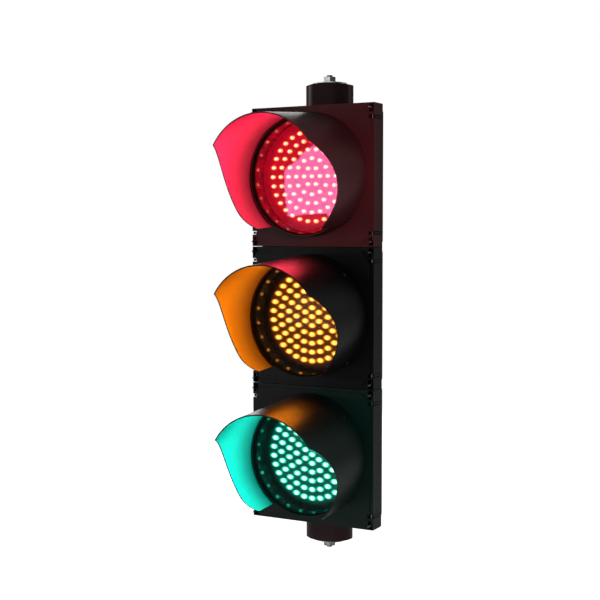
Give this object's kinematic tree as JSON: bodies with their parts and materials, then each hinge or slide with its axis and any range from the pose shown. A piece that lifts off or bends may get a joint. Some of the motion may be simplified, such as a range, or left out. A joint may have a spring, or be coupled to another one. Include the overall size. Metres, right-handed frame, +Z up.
{
  "type": "traffic signal head",
  "caption": "Vertical traffic signal head with stacked hinged sections, clear-domed LED lamps, cutaway visors and stud mounts at both ends.",
  "frame": {"origin": "on the mounting axis, at the face where the bottom stud leaves its nut", "axes": "+Z up along the mounting axis, the lamps face -Y, +X to the right of a person looking along +Y"},
  "size_m": [0.234, 0.2653, 0.8272],
  "materials": {
    "housing_plastic": "satin black polycarbonate, fine grain",
    "door_plastic": "satin black polycarbonate, fine grain",
    "visor_plastic": "satin black polycarbonate, fine grain",
    "cap_plastic": "very dark brown-black, semi-gloss",
    "case_plastic": "moulded black",
    "mask_plastic": "matte black",
    "lens_clear": "clear polycarbonate",
    "gasket_rubber": "moulded black rubber",
    "seal_foam": "closed-cell foam",
    "board_laminate": "green glass-fibre laminate",
    "zinc_steel": "zinc plated",
    "nut_steel": "zinc plated",
    "stud_steel": "zinc plated",
    "pin_steel": "drawn stainless wire",
    "spring_steel": "spring steel",
    "nipple_zinc": "die-cast zinc",
    "terminal_plastic": "moulded nylon",
    "cable_jacket": "black cable jacket",
    "led_red": "water-clear LED bodies, lit",
    "led_amber": "water-clear LED bodies, lit",
    "led_green": "water-clear LED bodies, lit"
  },
  "bodies": {
    "head_frame": {"housing_red": "housing_plastic", "housing_amber": "housing_plastic", "housing_green": "housing_plastic", "top_mount_cap": "cap_plastic", "bottom_mount_cap": "cap_plastic", "mount_studs": "stud_steel", "mount_washers": "zinc_steel", "mount_nuts": "nut_steel", "section_nipples": "nipple_zinc", "nipple_nuts": "nipple_zinc", "terminal_block": "terminal_plastic"},
    "door_assembly_red": {"door_red": "door_plastic", "door_seal_red": "seal_foam", "door_screws_red": "zinc_steel", "visor_red": "visor_plastic", "lens_red": "lens_clear", "lens_gasket_red": "gasket_rubber", "led_mask_red": "mask_plastic", "leds_red": "led_red", "circuit_board_red": "board_laminate", "module_case_red": "case_plastic", "module_clips_red": "spring_steel", "module_lead_red": "cable_jacket"},
    "hinge_pin_upper_red": {"hinge_pin_upper_red": "pin_steel"},
    "hinge_pin_lower_red": {"hinge_pin_lower_red": "pin_steel"},
    "latch_pin_upper_red": {"latch_pin_upper_red": "pin_steel"},
    "latch_pin_lower_red": {"latch_pin_lower_red": "pin_steel"},
    "door_assembly_amber": {"door_amber": "door_plastic", "door_seal_amber": "seal_foam", "door_screws_amber": "zinc_steel", "visor_amber": "visor_plastic", "lens_amber": "lens_clear", "lens_gasket_amber": "gasket_rubber", "led_mask_amber": "mask_plastic", "leds_amber": "led_amber", "circuit_board_amber": "board_laminate", "module_case_amber": "case_plastic", "module_clips_amber": "spring_steel", "module_lead_amber": "cable_jacket"},
    "hinge_pin_upper_amber": {"hinge_pin_upper_amber": "pin_steel"},
    "hinge_pin_lower_amber": {"hinge_pin_lower_amber": "pin_steel"},
    "latch_pin_upper_amber": {"latch_pin_upper_amber": "pin_steel"},
    "latch_pin_lower_amber": {"latch_pin_lower_amber": "pin_steel"},
    "door_assembly_green": {"door_green": "door_plastic", "door_seal_green": "seal_foam", "door_screws_green": "zinc_steel", "visor_green": "visor_plastic", "lens_green": "lens_clear", "lens_gasket_green": "gasket_rubber", "led_mask_green": "mask_plastic", "leds_green": "led_green", "circuit_board_green": "board_laminate", "module_case_green": "case_plastic", "module_clips_green": "spring_steel", "module_lead_green": "cable_jacket"},
    "hinge_pin_upper_green": {"hinge_pin_upper_green": "pin_steel"},
    "hinge_pin_lower_green": {"hinge_pin_lower_green": "pin_steel"},
    "latch_pin_upper_green": {"latch_pin_upper_green": "pin_steel"},
    "latch_pin_lower_green": {"latch_pin_lower_green": "pin_steel"}
  },
  "joints": [
    {"name": "door_hinge_red", "type": "hinge", "parent": "head_frame", "child": "door_assembly_red", "pos_m": [-0.112, -0.061, 0.6486], "axis": [0, 0, -1], "range_deg": [0, 110]},
    {"name": "hinge_pin_upper_slide_red", "type": "slide", "parent": "door_assembly_red", "child": "hinge_pin_upper_red", "axis": [0, 0, 1], "range_m": [0, 0.0044]},
    {"name": "hinge_pin_lower_slide_red", "type": "slide", "parent": "door_assembly_red", "child": "hinge_pin_lower_red", "axis": [0, 0, -1], "range_m": [0, 0.0044]},
    {"name": "latch_pin_upper_slide_red", "type": "slide", "parent": "door_assembly_red", "child": "latch_pin_upper_red", "axis": [0, 0, 1], "range_m": [0, 0.0044]},
    {"name": "latch_pin_lower_slide_red", "type": "slide", "parent": "door_assembly_red", "child": "latch_pin_lower_red", "axis": [0, 0, -1], "range_m": [0, 0.0044]},
    {"name": "door_hinge_amber", "type": "hinge", "parent": "head_frame", "child": "door_assembly_amber", "pos_m": [-0.112, -0.061, 0.4106], "axis": [0, 0, -1], "range_deg": [0, 110]},
    {"name": "hinge_pin_upper_slide_amber", "type": "slide", "parent": "door_assembly_amber", "child": "hinge_pin_upper_amber", "axis": [0, 0, 1], "range_m": [0, 0.0044]},
    {"name": "hinge_pin_lower_slide_amber", "type": "slide", "parent": "door_assembly_amber", "child": "hinge_pin_lower_amber", "axis": [0, 0, -1], "range_m": [0, 0.0044]},
    {"name": "latch_pin_upper_slide_amber", "type": "slide", "parent": "door_assembly_amber", "child": "latch_pin_upper_amber", "axis": [0, 0, 1], "range_m": [0, 0.0044]},
    {"name": "latch_pin_lower_slide_amber", "type": "slide", "parent": "door_assembly_amber", "child": "latch_pin_lower_amber", "axis": [0, 0, -1], "range_m": [0, 0.0044]},
    {"name": "door_hinge_green", "type": "hinge", "parent": "head_frame", "child": "door_assembly_green", "pos_m": [-0.112, -0.061, 0.1726], "axis": [0, 0, -1], "range_deg": [0, 110]},
    {"name": "hinge_pin_upper_slide_green", "type": "slide", "parent": "door_assembly_green", "child": "hinge_pin_upper_green", "axis": [0, 0, 1], "range_m": [0, 0.0044]},
    {"name": "hinge_pin_lower_slide_green", "type": "slide", "parent": "door_assembly_green", "child": "hinge_pin_lower_green", "axis": [0, 0, -1], "range_m": [0, 0.0044]},
    {"name": "latch_pin_upper_slide_green", "type": "slide", "parent": "door_assembly_green", "child": "latch_pin_upper_green", "axis": [0, 0, 1], "range_m": [0, 0.0044]},
    {"name": "latch_pin_lower_slide_green", "type": "slide", "parent": "door_assembly_green", "child": "latch_pin_lower_green", "axis": [0, 0, -1], "range_m": [0, 0.0044]}
  ]
}
